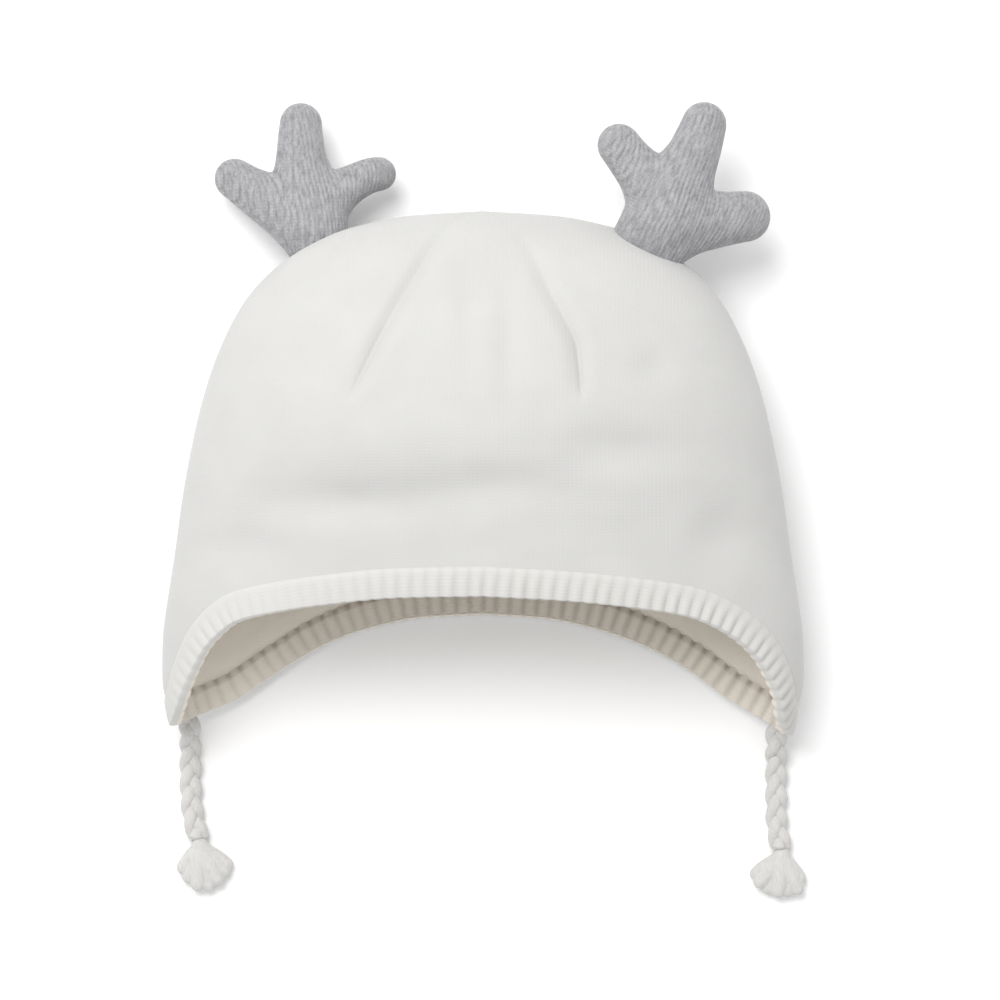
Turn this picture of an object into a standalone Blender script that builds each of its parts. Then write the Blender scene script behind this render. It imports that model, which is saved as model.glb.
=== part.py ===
"""A baby's knitted beanie with two stuffed antlers, ear flaps, plaited ties and tassels.

It lies on its back as on a table. +X is the hat's right-hand side in the view, +Y runs from the
opening to the top of the crown and +Z points up from the table. All sizes are in metres.
"""

import math

import bpy
import numpy as np

# Sizes of the hat
HAT_WIDTH = 0.1914
HAT_DEPTH = 0.0775
CROWN_LENGTH = 0.1560
APEX_Y = 0.0615
WALL = 0.0025
SEAM_GAP = 0.0003
RIM_GAP = 0.0008
TOP_ROUNDNESS = 2.25
BACK_ROUNDNESS = 3.1

# Sizes of the rim
RIM_FRONT_Y = -0.0432
FLAP_LENGTH = 0.0443
BAND_WIDTH = 0.0093
BAND_THICKNESS = 0.0036
BAND_PROUD = 0.0006
RIB_HEIGHT = 0.0008
RIB_PITCH = 0.0042

# Sizes of the darts and dents
DART_DEPTH = 0.0020
DART_WIDTH = 0.0030
DENT_DEPTH = 0.0026

# Sizes of the antlers
ANTLER_RADIUS = 0.0068
ANTLER_FLATNESS = 0.88
ANTLER_BLEND = 0.0075

# Sizes of the ties and tassels
TIE_DIAMETER = 0.0062
TIE_LENGTH = 0.0360
TIE_APART = 0.9248 * HAT_WIDTH
TASSEL_LENGTH = 0.0142
TASSEL_HEAD = 0.0052
LOCK_RADIUS = 0.0024

# Mesh fineness
COLUMNS = 72
ROWS = 16
RING = 12

# Sections of the crown from past the flaps to its top.
# Columns: distance from the top as a share of CROWN_LENGTH, half width as a share of half
# HAT_WIDTH, then height of the front, of the widest place and of the back as shares of HAT_DEPTH.
# A back below zero is where the crown lies flat on the table.
SECTIONS = (
    (1.112, 0.850, 0.64, 0.08, 0.020),
    (1.000, 0.945, 0.72, 0.17, 0.020),
    (0.954, 0.982, 0.77, 0.22, 0.020),
    (0.895, 1.000, 0.82, 0.28, 0.020),
    (0.817, 0.996, 0.86, 0.33, 0.019),
    (0.741, 0.979, 0.885, 0.36, 0.015),
    (0.646, 0.955, 0.915, 0.36, -0.002),
    (0.551, 0.934, 0.952, 0.36, -0.013),
    (0.500, 0.920, 0.978, 0.36, -0.013),
    (0.455, 0.906, 0.995, 0.36, -0.013),
    (0.420, 0.894, 1.00, 0.36, -0.013),
    (0.360, 0.870, 0.99, 0.36, -0.013),
    (0.284, 0.830, 0.95, 0.36, -0.012),
    (0.226, 0.789, 0.91, 0.36, -0.004),
    (0.169, 0.735, 0.85, 0.36, 0.012),
    (0.120, 0.664, 0.78, 0.365, 0.04),
    (0.093, 0.609, 0.735, 0.37, 0.07),
    (0.065, 0.535, 0.67, 0.375, 0.11),
    (0.038, 0.438, 0.59, 0.375, 0.16),
    (0.024, 0.355, 0.54, 0.375, 0.20),
    (0.011, 0.245, 0.48, 0.375, 0.255),
    (0.000, 0.000, 0.375, 0.375, 0.375),
)

# The rim, where the knitted shell meets the ribbed band. Columns: turn from the front's middle
# in degrees, drop below the front on the left and on the right as shares of FLAP_LENGTH, and
# the band's width as a share of BAND_WIDTH.
RIM = (
    (0, 0.00, 0.00, 1.00),
    (15, 0.01, 0.03, 1.00),
    (30, 0.06, 0.085, 1.00),
    (40, 0.11, 0.14, 1.00),
    (50, 0.18, 0.26, 1.00),
    (60, 0.36, 0.45, 1.00),
    (68, 0.60, 0.67, 1.00),
    (76, 0.82, 0.90, 0.98),
    (86, 0.90, 0.97, 0.95),
    (98, 0.915, 0.985, 0.92),
    (112, 0.905, 0.965, 0.90),
    (124, 0.855, 0.89, 0.88),
    (133, 0.78, 0.78, 0.88),
    (142, 0.59, 0.57, 0.88),
    (150, 0.395, 0.395, 0.92),
    (158, 0.265, 0.27, 0.97),
    (168, 0.18, 0.185, 1.00),
    (180, 0.155, 0.155, 1.00),
)

# The front darts. Columns: distance from the top as a share of CROWN_LENGTH, turn of the left
# dart and of the right one in degrees, then the depth of each as a share of DART_DEPTH.
DARTS = (
    (0.00, 13.0, 12.0, 0.00, 0.00),
    (0.05, 14.5, 13.5, 0.60, 0.20),
    (0.11, 16.2, 14.8, 1.00, 0.60),
    (0.16, 18.2, 16.1, 1.00, 1.00),
    (0.20, 20.0, 17.7, 1.00, 1.00),
    (0.27, 22.9, 20.0, 0.90, 0.90),
    (0.33, 25.2, 19.8, 0.50, 0.60),
    (0.37, 26.5, 19.6, 0.00, 0.00),
)

# Soft dents and folds in the front. Columns: what it is, place across as a share of half
# HAT_WIDTH, distance from the top as a share of CROWN_LENGTH, reach across as a share of half
# HAT_WIDTH, reach along as a share of CROWN_LENGTH, depth as a share of DENT_DEPTH.
DENTS = (
    ("left slump", -0.38, 0.555, 0.24, 0.042, 1.00),
    ("middle slump", 0.03, 0.525, 0.20, 0.040, 0.75),
    ("right slump", 0.43, 0.455, 0.17, 0.045, 0.95),
    ("left side dent", -0.74, 0.64, 0.11, 0.045, 0.75),
    ("left fold", -0.045, 0.21, 0.04, 0.110, 0.45),
    ("right fold", 0.08, 0.27, 0.04, 0.110, 0.50),
    ("right dent", 0.52, 0.30, 0.06, 0.035, 0.45),
    ("right side dent", 0.72, 0.62, 0.09, 0.060, 0.90),
)

# The antlers' tines. Columns: where it starts, its middle and where its round tip begins, each
# as across, along and height in shares of HAT_WIDTH from the hat's middle on the table, then its
# half width at each of the three as a share of ANTLER_RADIUS.
LEFT_TINES = (
    ("trunk", (-0.248, 0.236, 0.115), (-0.278, 0.357, 0.098), (-0.286, 0.463, 0.075), (1.08, 1.20, 0.94)),
    ("outer tine", (-0.262, 0.282, 0.108), (-0.332, 0.336, 0.088), (-0.391, 0.378, 0.062), (1.10, 1.06, 0.90)),
    ("inner tine", (-0.258, 0.318, 0.104), (-0.206, 0.366, 0.092), (-0.163, 0.384, 0.078), (0.95, 0.83, 0.76)),
)
RIGHT_TINES = (
    ("trunk", (0.234, 0.232, 0.188), (0.301, 0.352, 0.182), (0.343, 0.455, 0.165), (1.58, 1.34, 0.99)),
    ("inner tine", (0.280, 0.318, 0.184), (0.244, 0.376, 0.176), (0.211, 0.423, 0.162), (1.12, 1.02, 0.95)),
    ("outer tine", (0.262, 0.276, 0.184), (0.338, 0.300, 0.170), (0.408, 0.313, 0.150), (1.20, 1.22, 1.12)),
)

# The ties' way from the flap's tip. Columns: share of TIE_LENGTH along, sideways lean of the
# left tie and of the right one, and height of the middle, all three in shares of TIE_DIAMETER.
TIE_WAY = (
    (0.00, 0.00, 0.00, 1.30),
    (0.08, 0.00, 0.00, 1.24),
    (0.25, 0.00, 0.02, 0.72),
    (0.45, -0.02, 0.03, 0.56),
    (0.75, 0.06, 0.05, 0.56),
    (1.00, 0.36, 0.25, 0.60),
)

# The tassels' locks. Columns: turn from straight down in degrees, length as a share of
# TASSEL_LENGTH, radius as a share of LOCK_RADIUS, height of the tip as a share of TASSEL_HEAD.
LEFT_LOCKS = (
    (-38, 0.86, 0.90, 0.60),
    (-20, 1.00, 1.00, 0.55),
    (-3, 1.15, 1.00, 0.80),
    (12, 1.20, 1.00, 0.55),
    (28, 1.12, 1.05, 0.75),
    (44, 1.05, 1.00, 0.55),
    (57, 0.98, 0.80, 0.55),
)
RIGHT_LOCKS = (
    (-56, 0.95, 0.85, 0.55),
    (-40, 1.02, 1.00, 0.75),
    (-23, 1.03, 1.00, 0.55),
    (-6, 1.05, 1.05, 0.80),
    (10, 1.06, 1.00, 0.55),
    (25, 1.08, 1.00, 0.75),
    (40, 0.88, 0.85, 0.55),
)


def smooth(x, xs, ys):
    """A curve through the points xs, ys without overshoot (monotone cubic), read at x."""
    xs = np.asarray(xs, float)
    ys = np.asarray(ys, float)
    step = np.diff(xs)
    slope = np.diff(ys) / step
    turn = slope[:-1] * slope[1:]
    weight = (step[:-1] + 2 * step[1:], 2 * step[:-1] + step[1:])
    safe = np.where(turn > 0, slope[:-1] * weight[1] + slope[1:] * weight[0], 1.0)
    middle = np.where(turn > 0, (weight[0] + weight[1]) * turn / safe, 0.0)
    tangent = np.concatenate([slope[:1], middle, slope[-1:]])
    i = np.clip(np.searchsorted(xs, x, side="right") - 1, 0, len(step) - 1)
    t = (x - xs[i]) / step[i]
    a = (1 + 2 * t) * (1 - t) ** 2 * ys[i] + t * (1 - t) ** 2 * step[i] * tangent[i]
    return a + t * t * (3 - 2 * t) * ys[i + 1] + t * t * (t - 1) * step[i] * tangent[i + 1]


def unit(v):
    return v / np.linalg.norm(v, axis=-1, keepdims=True)


# The sections read along a meridian: each row's place is its distance along the side outline.
TABLE = np.array(SECTIONS)
SECTION_Y = APEX_Y - TABLE[:, 0] * CROWN_LENGTH
SECTION_SIZES = TABLE[:, 1:] * (HAT_WIDTH / 2, HAT_DEPTH, HAT_DEPTH, HAT_DEPTH)
STEPS = np.hypot(np.diff(SECTION_Y), np.diff(SECTION_SIZES[:, 0]))
ALONG = np.concatenate([[0], np.cumsum(STEPS)])


def hat_surface(turn, along):
    """The hat's outer skin, with its darts and dents.

    turn goes round from the front's middle in radians and along runs up the side outline. The
    section is an ellipse swelled by (|sin|^n + |cos|^n)^(-1/n), higher in front than behind.
    """
    y = smooth(along, ALONG, SECTION_Y)
    half, front, widest, back = (smooth(along, ALONG, column) for column in SECTION_SIZES.T)
    c, s = np.cos(turn), np.sin(turn)
    power = np.where(c > 0, TOP_ROUNDNESS, BACK_ROUNDNESS)
    swell = (np.abs(s) ** power + np.abs(c) ** power) ** (-1 / power)
    x = half * s * swell
    z = widest + np.where(c > 0, front - widest, widest - back) * c * swell
    share = (APEX_Y - y) / CROWN_LENGTH
    dip = np.zeros_like(z)
    rows = np.array(DARTS)
    down = np.clip(share, 0, rows[-1, 0])
    for side, column in ((-1, 1), (1, 2)):
        place = smooth(down, rows[:, 0], rows[:, column])
        depth = smooth(down, rows[:, 0], rows[:, column + 2])
        around = np.maximum(half, 0.001) * np.abs(np.abs(turn) - np.radians(place))
        near = np.exp(-((around / DART_WIDTH) ** 2)) * (turn * side > 0)
        dip += DART_DEPTH * depth * near
    for _, across, down, reach, length, depth in DENTS:
        u = (x / (HAT_WIDTH / 2) - across) / reach
        v = (share - down) / length
        dip += DENT_DEPTH * depth * np.exp(-(u * u) - v * v)
    lift = np.clip(c * 4, 0, 1)
    return np.stack([x, y + 0 * x, np.maximum(z - dip * lift, 0)], axis=-1)


def hat_normal(turn, along):
    """The skin's outward direction, from its slopes round and along."""
    step = 1e-4
    up = hat_surface(turn, along + step) - hat_surface(turn, along - step)
    round_ = hat_surface(turn + step, along) - hat_surface(turn - step, along)
    return unit(np.cross(round_, up))


def rim_along(turn):
    """Where the rim lies along the meridian at this turn."""
    rows = np.array(RIM, float)
    degrees = np.degrees(np.abs(turn))
    left = smooth(degrees, rows[:, 0], rows[:, 1])
    right = smooth(degrees, rows[:, 0], rows[:, 2])
    y = RIM_FRONT_Y - FLAP_LENGTH * np.where(turn < 0, left, right)
    fine = np.linspace(ALONG[0], ALONG[-1], 4000)
    return np.interp(y, smooth(fine, ALONG, SECTION_Y), fine)


def column_turns():
    """Turns of the crown's columns, closer together at the flaps' tips and beside the darts."""
    turn = np.linspace(-math.pi, math.pi, 7201)
    degrees = np.degrees(np.abs(turn))
    density = 1 + 0.9 * np.exp(-(((degrees - 92) / 34) ** 2))
    density += 1.3 * np.exp(-(((degrees - 20) / 9) ** 2))
    total = np.concatenate([[0], np.cumsum((density[1:] + density[:-1]) / 2)])
    return np.interp(np.arange(COLUMNS) / COLUMNS * total[-1], total, turn)


def crown_grid(lift=0.0):
    """Rows of crown points from the rim to the last ring, then the top point, lift outside it."""
    turn = column_turns()[None, :]
    share = (np.arange(ROWS) / ROWS)[:, None]
    start = rim_along(turn)
    along = start + (ALONG[-1] - start) * share**0.94
    points = hat_surface(turn + 0 * along, along)
    if lift:
        points = points + lift * hat_normal(turn + 0 * along, along)
    top = np.array([0, APEX_Y + lift, SECTION_SIZES[-1, 1]])
    return points, top


def material(name, colour, roughness):
    made = bpy.data.materials.new(name)
    made.use_nodes = True
    shader = made.node_tree.nodes["Principled BSDF"]
    shader.inputs["Base Color"].default_value = (*colour, 1)
    shader.inputs["Roughness"].default_value = roughness
    return made


def collection(name):
    made = bpy.data.collections.new(name)
    bpy.context.scene.collection.children.link(made)
    return made


def add_mesh(name, points, faces, home, surface=None):
    mesh = bpy.data.meshes.new(name)
    mesh.from_pydata([tuple(p) for p in np.asarray(points, float)], [], faces)
    mesh.validate()
    mesh.update()
    for polygon in mesh.polygons:
        polygon.use_smooth = True
    obj = bpy.data.objects.new(name, mesh)
    home.objects.link(obj)
    if surface:
        mesh.materials.append(surface)
    return obj


def as_helper(obj):
    obj.hide_render = True
    obj.display_type = "WIRE"
    return obj


def grid_faces(rows, columns, closed_along=False):
    """Quads of a grid whose columns close into a ring; its rows too where closed_along."""
    faces = []
    for i in range(rows if closed_along else rows - 1):
        for k in range(columns):
            a = i * columns + k
            b = i * columns + (k + 1) % columns
            up = ((i + 1) % rows - i) * columns
            faces.append((a, b, b + up, a + up))
    return faces


def fan_faces(first, columns, tip, flip=False):
    """Triangles from a ring to its tip."""
    faces = [(first + k, first + (k + 1) % columns, tip) for k in range(columns)]
    return [face[::-1] for face in faces] if flip else faces


def make_crown(home, surface):
    """The shell: the skin from rim to top, thickened inwards."""
    points, top = crown_grid()
    flat = [*points.reshape(-1, 3), top]
    faces = grid_faces(ROWS, COLUMNS) + fan_faces((ROWS - 1) * COLUMNS, COLUMNS, ROWS * COLUMNS)
    crown = add_mesh("crown", flat, faces, home, surface)
    wall = crown.modifiers.new("wall", "SOLIDIFY")
    wall.thickness = WALL
    wall.offset = -1
    wall.use_even_offset = True
    return crown


def make_envelope(home):
    """The crown's outside a seam gap larger and closed at the rim, which trims the antlers."""
    points, top = crown_grid(SEAM_GAP)
    flat = [*points.reshape(-1, 3), top, points[0].mean(axis=0)]
    faces = grid_faces(ROWS, COLUMNS) + fan_faces((ROWS - 1) * COLUMNS, COLUMNS, ROWS * COLUMNS)
    faces += fan_faces(0, COLUMNS, ROWS * COLUMNS + 1, flip=True)
    return as_helper(add_mesh("crown_envelope", flat, faces, home))


def make_band(home, surface):
    """The ribbed band: a rounded strip round the rim with a rib at every RIB_PITCH.

    Returns the places along its free edge.
    """
    turn = column_turns()
    start = rim_along(turn)
    rim = hat_surface(turn, start)
    out = hat_normal(turn, start)
    ring = unit(np.roll(rim, -1, axis=0) - np.roll(rim, 1, axis=0))
    down = unit(np.cross(out, ring))
    down = down * np.where(np.sum(down * (0, -1, 0), axis=1) < 0, -1, 1)[:, None]
    length = np.linalg.norm(np.roll(rim, -1, axis=0) - rim, axis=1)
    place = np.concatenate([[0], np.cumsum(length)])
    ribs = round(place[-1] / RIB_PITCH)
    stations = np.arange(2 * ribs) / (2 * ribs) * place[-1]

    def read(values):
        looped = np.concatenate([values, values[:1]])
        return np.stack([np.interp(stations, place, column) for column in looped.T], axis=1)

    rows = np.array(RIM, float)
    width = BAND_WIDTH * smooth(np.degrees(np.abs(turn)), rows[:, 0], rows[:, 3])
    width = read(width[:, None])
    rim, out, down = read(rim), unit(read(out)), unit(read(down))
    crest = (np.arange(2 * ribs) % 2)[:, None]
    outer = BAND_PROUD + RIB_HEIGHT * (crest - 0.5)
    inner = BAND_PROUD - BAND_THICKNESS - RIB_HEIGHT * (crest - 0.5)
    middle = (outer + inner) / 2
    half = (outer - inner) / 2
    # Columns: place across the band as a share of its width, share of its half thickness.
    profile = (
        (0.00, -0.55),
        (0.14, -1.00),
        (0.86, -1.00),
        (1.00, -0.50),
        (1.00, 0.50),
        (0.86, 1.00),
        (0.14, 1.00),
        (0.00, 0.55),
    )
    rings = []
    for across, thick in profile:
        reach = RIM_GAP + (width - RIM_GAP) * across
        rings.append(rim + reach * down + (middle + thick * half) * out)
    points = np.stack(rings).reshape(-1, 3)
    faces = grid_faces(len(profile), 2 * ribs, closed_along=True)
    add_mesh("rib_band", points, faces, home, surface)
    return rim + width * down


def tine_axis(tine, count):
    """Points, half widths and half thicknesses along a tine through its three places.

    The thickness grows with the square root of the width, so a wide foot stays a flat oval.
    """
    _, start, bend, end, widths = tine
    t = np.linspace(0, 1, count)[:, None]
    places = np.array([start, bend, end]) * HAT_WIDTH
    control = 2 * places[1] - (places[0] + places[2]) / 2
    axis = (1 - t) ** 2 * places[0] + 2 * t * (1 - t) * control + t**2 * places[2]
    width = ANTLER_RADIUS * smooth(t[:, 0], (0, 0.5, 1), widths)
    return axis, width, ANTLER_FLATNESS * np.sqrt(width * ANTLER_RADIUS)


def tine_distance(points, tine):
    """How far points lie outside a tine, taking its flatness into account."""
    axis, width, thick = tine_axis(tine, 40)
    apart = points[:, None, :] - axis[None, :, :]
    apart[..., 2] *= (width / thick)[None, :]
    return np.min(np.linalg.norm(apart, axis=-1) - width[None, :], axis=1)


def tine_rings(tine, others):
    """Rings of a tine with domed ends, pushed out where it blends into the others.

    The push is blend / 4 * (1 - |d| / blend)^2 with d the distance to the other tine.
    """
    axis, width, thick = tine_axis(tine, 9)
    slope = unit(np.gradient(axis, axis=0))
    side = unit(np.cross(slope, (0, 0, 1)))
    up = np.cross(side, slope)
    rings = []
    round_ = np.linspace(0, 2 * math.pi, RING, endpoint=False)[:, None]
    for i in range(len(axis)):
        out = np.cos(round_) * side[i] * width[i] + np.sin(round_) * up[i] * thick[i]
        rings.append(axis[i] + out)
    for degrees in (32, 62):
        lean = math.radians(degrees)
        rings.append(axis[-1] + slope[-1] * width[-1] * math.sin(lean) + math.cos(lean) * out)
    points = np.concatenate(rings)
    centre = np.repeat(np.concatenate([axis, axis[-1:], axis[-1:]]), RING, axis=0)
    away = unit(points - centre)
    for other in others:
        far = np.abs(tine_distance(points, other))
        push = ANTLER_BLEND / 4 * np.clip(1 - far / ANTLER_BLEND, 0, 1) ** 2
        points = points + away * push[:, None]
    tip = axis[-1] + slope[-1] * width[-1]
    return points, len(rings), axis[0], tip


def make_antler(name, tines, home, cutters, surface, envelope):
    """Three tines joined into one stuffed form and trimmed to the crown."""
    made = []
    for i, tine in enumerate(tines):
        others = [other for other in tines if other is not tine]
        points, rings, foot, tip = tine_rings(tine, others)
        faces = grid_faces(rings, RING)
        faces += fan_faces((rings - 1) * RING, RING, rings * RING)
        faces += fan_faces(0, RING, rings * RING + 1, flip=True)
        title = name if i == 0 else name + "_" + tine[0].replace(" ", "_")
        target = home if i == 0 else cutters
        made.append(add_mesh(title, [*points, tip, foot], faces, target, surface if i == 0 else None))
    for other in made[1:]:
        as_helper(other)
        join = made[0].modifiers.new(other.name, "BOOLEAN")
        join.operation = "UNION"
        join.solver = "EXACT"
        join.object = other
    trim = made[0].modifiers.new("trim", "BOOLEAN")
    trim.operation = "DIFFERENCE"
    trim.solver = "EXACT"
    trim.object = envelope
    return made[0]


def make_tie(name, side, tip, home, surface):
    """A tie's round outside on its curved way over the table; returns its end too."""
    rows = np.array(TIE_WAY)
    t = np.linspace(0, 1, 9)
    y = tip[1] - SEAM_GAP - t * TIE_LENGTH
    x = tip[0] + TIE_DIAMETER * smooth(t, rows[:, 0], rows[:, 1 if side < 0 else 2])
    z = TIE_DIAMETER * smooth(t, rows[:, 0], rows[:, 3])
    curve = bpy.data.curves.new(name, "CURVE")
    curve.dimensions = "3D"
    curve.bevel_depth = TIE_DIAMETER / 2
    curve.bevel_resolution = 3
    curve.use_fill_caps = True
    spline = curve.splines.new("POLY")
    spline.points.add(len(t) - 1)
    for point, px, py, pz in zip(spline.points, x, y, z):
        point.co = (px, py, pz, 1)
    curve.materials.append(surface)
    obj = bpy.data.objects.new(name, curve)
    home.objects.link(obj)
    end = np.array([x[-1], y[-1], z[-1]])
    before = np.array([x[-2], y[-2], z[-2]])
    return end, unit(end - before)


def lock_points(start, degrees, length, radius, tip_height):
    """A lock of yarn: rings that swell and then taper from the head to its tip on the table."""
    lean = math.radians(degrees)
    t = np.linspace(0, 1, 5)
    x = start[0] + length * math.sin(lean) * t
    y = start[1] - length * math.cos(lean) * t
    z = start[2] + (tip_height - start[2]) * t**0.7
    axis = np.stack([x, y, z], axis=1)
    width = radius * smooth(t, (0, 0.55, 1), (0.75, 1.0, 0.55))
    slope = unit(np.gradient(axis, axis=0))
    side = unit(np.cross(slope, (0, 0, 1)))
    up = np.cross(side, slope)
    round_ = np.linspace(0, 2 * math.pi, 8, endpoint=False)[:, None]
    rings = [axis[i] + width[i] * (np.cos(round_) * side[i] + np.sin(round_) * up[i]) for i in range(5)]
    points = np.concatenate(rings)
    points[:, 2] = np.maximum(points[:, 2], 0.0002)
    return points, axis[0] - slope[0] * radius * 0.4, axis[-1] + slope[-1] * radius * 0.5


def make_tassel(name, locks, end, lean, home, cutters, surface):
    """A tassel: a small round head past the tie's end with locks fanned out over the table."""
    centre = end + lean * (SEAM_GAP + TASSEL_HEAD / 2)
    centre[2] = max(centre[2], TASSEL_HEAD / 2 + 0.0002)
    bpy.ops.mesh.primitive_uv_sphere_add(segments=10, ring_count=7, radius=TASSEL_HEAD / 2, location=centre)
    head = bpy.context.object
    head.name = name
    head.data.name = name
    for old in list(head.users_collection):
        old.objects.unlink(head)
    home.objects.link(head)
    head.data.materials.append(surface)
    for polygon in head.data.polygons:
        polygon.use_smooth = True
    for i, (degrees, length, radius, height) in enumerate(locks):
        reach = (TASSEL_LENGTH - TASSEL_HEAD / 2) * length
        points, foot, tip = lock_points(
            centre, degrees, reach, LOCK_RADIUS * radius, TASSEL_HEAD * height
        )
        faces = grid_faces(5, 8) + fan_faces(32, 8, 40) + fan_faces(0, 8, 41, flip=True)
        lock = as_helper(add_mesh(f"{name}_lock_{i + 1}", [*points, tip, foot], faces, cutters))
        join = head.modifiers.new(lock.name, "BOOLEAN")
        join.operation = "UNION"
        join.solver = "EXACT"
        join.object = lock
    return head


def main():
    for obj in list(bpy.data.objects):
        bpy.data.objects.remove(obj, do_unlink=True)
    home = collection("antler_beanie")
    cutters = collection("cutters")
    cutters.hide_render = True
    shell = material("off_white_knit", (0.82, 0.81, 0.79), 0.95)
    rib = material("off_white_rib", (0.80, 0.79, 0.75), 0.95)
    grey = material("heather_grey_knit", (0.42, 0.42, 0.44), 0.95)
    yarn = material("off_white_yarn", (0.80, 0.79, 0.76), 0.95)
    make_crown(home, shell)
    free = make_band(home, rib)
    envelope = make_envelope(cutters)
    make_antler("antler_left", LEFT_TINES, home, cutters, grey, envelope)
    make_antler("antler_right", RIGHT_TINES, home, cutters, grey, envelope)
    for side, name, locks in ((-1, "left", LEFT_LOCKS), (1, "right", RIGHT_LOCKS)):
        x = side * TIE_APART / 2
        apart = np.hypot(free[:, 0] - x, free[:, 2] - TIE_WAY[0][3] * TIE_DIAMETER)
        near = apart < apart.min() + TIE_DIAMETER / 2
        tip = (x, free[near, 1].min(), 0)
        end, lean = make_tie("tie_" + name, side, tip, home, yarn)
        make_tassel("tassel_" + name, locks, end, lean, home, cutters, yarn)


main()
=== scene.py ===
"""The look of the antler beanie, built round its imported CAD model.

It lies on its back on a pale floor and the camera looks straight down at it. +X is the hat's right
in the view, +Y runs from the opening to the top of the crown and +Z is up. Sizes are in metres.
"""

import math

import bpy
import numpy as np
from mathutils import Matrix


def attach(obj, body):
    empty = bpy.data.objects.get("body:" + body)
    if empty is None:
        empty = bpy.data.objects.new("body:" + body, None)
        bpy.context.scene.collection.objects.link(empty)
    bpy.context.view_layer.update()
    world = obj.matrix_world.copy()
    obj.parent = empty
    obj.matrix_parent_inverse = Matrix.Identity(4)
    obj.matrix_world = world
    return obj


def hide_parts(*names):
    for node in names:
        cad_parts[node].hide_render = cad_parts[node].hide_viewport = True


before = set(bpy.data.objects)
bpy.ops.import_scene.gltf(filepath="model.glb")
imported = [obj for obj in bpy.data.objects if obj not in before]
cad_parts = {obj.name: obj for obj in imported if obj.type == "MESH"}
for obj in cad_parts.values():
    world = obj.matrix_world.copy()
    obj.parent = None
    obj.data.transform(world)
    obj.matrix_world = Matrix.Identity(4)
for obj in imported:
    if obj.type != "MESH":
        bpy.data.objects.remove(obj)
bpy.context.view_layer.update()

# The hat's sizes and tables, as in the CAD model
HAT_WIDTH = 0.1914
HAT_DEPTH = 0.0775
CROWN_LENGTH = 0.1560
APEX_Y = 0.0615
WALL = 0.0025
TOP_ROUNDNESS = 2.25
BACK_ROUNDNESS = 3.1
RIM_FRONT_Y = -0.0432
FLAP_LENGTH = 0.0443
BAND_WIDTH = 0.0093
BAND_THICKNESS = 0.0036
BAND_PROUD = 0.0006
RIB_HEIGHT = 0.0008
RIB_PITCH = 0.0042
DART_DEPTH = 0.0020
DART_WIDTH = 0.0030
DENT_DEPTH = 0.0026
ANTLER_RADIUS = 0.0068
ANTLER_FLATNESS = 0.88
ANTLER_BLEND = 0.0075
TIE_DIAMETER = 0.0062
TIE_LENGTH = 0.0360
TIE_APART = 0.9248 * HAT_WIDTH
TASSEL_LENGTH = 0.0142
TASSEL_HEAD = 0.0052
LOCK_RADIUS = 0.0024

# Sections of the crown. Columns: distance from the top as a share of CROWN_LENGTH, half width as
# a share of half HAT_WIDTH, then height of the front, of the widest place and of the back as
# shares of HAT_DEPTH.
SECTIONS = (
    (1.112, 0.850, 0.64, 0.08, 0.020),
    (1.000, 0.945, 0.72, 0.17, 0.020),
    (0.954, 0.982, 0.77, 0.22, 0.020),
    (0.895, 1.000, 0.82, 0.28, 0.020),
    (0.817, 0.996, 0.86, 0.33, 0.019),
    (0.741, 0.979, 0.885, 0.36, 0.015),
    (0.646, 0.955, 0.915, 0.36, -0.002),
    (0.551, 0.934, 0.952, 0.36, -0.013),
    (0.500, 0.920, 0.978, 0.36, -0.013),
    (0.455, 0.906, 0.995, 0.36, -0.013),
    (0.420, 0.894, 1.00, 0.36, -0.013),
    (0.360, 0.870, 0.99, 0.36, -0.013),
    (0.284, 0.830, 0.95, 0.36, -0.012),
    (0.226, 0.789, 0.91, 0.36, -0.004),
    (0.169, 0.735, 0.85, 0.36, 0.012),
    (0.120, 0.664, 0.78, 0.365, 0.04),
    (0.093, 0.609, 0.735, 0.37, 0.07),
    (0.065, 0.535, 0.67, 0.375, 0.11),
    (0.038, 0.438, 0.59, 0.375, 0.16),
    (0.024, 0.355, 0.54, 0.375, 0.20),
    (0.011, 0.245, 0.48, 0.375, 0.255),
    (0.000, 0.000, 0.375, 0.375, 0.375),
)

# The rim. Columns: turn from the front's middle in degrees, drop below the front on the left and
# on the right as shares of FLAP_LENGTH, and the band's width as a share of BAND_WIDTH.
RIM = (
    (0, 0.00, 0.00, 1.00),
    (15, 0.01, 0.03, 1.00),
    (30, 0.06, 0.085, 1.00),
    (40, 0.11, 0.14, 1.00),
    (50, 0.18, 0.26, 1.00),
    (60, 0.36, 0.45, 1.00),
    (68, 0.60, 0.67, 1.00),
    (76, 0.82, 0.90, 0.98),
    (86, 0.90, 0.97, 0.95),
    (98, 0.915, 0.985, 0.92),
    (112, 0.905, 0.965, 0.90),
    (124, 0.855, 0.89, 0.88),
    (133, 0.78, 0.78, 0.88),
    (142, 0.59, 0.57, 0.88),
    (150, 0.395, 0.395, 0.92),
    (158, 0.265, 0.27, 0.97),
    (168, 0.18, 0.185, 1.00),
    (180, 0.155, 0.155, 1.00),
)

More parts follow.
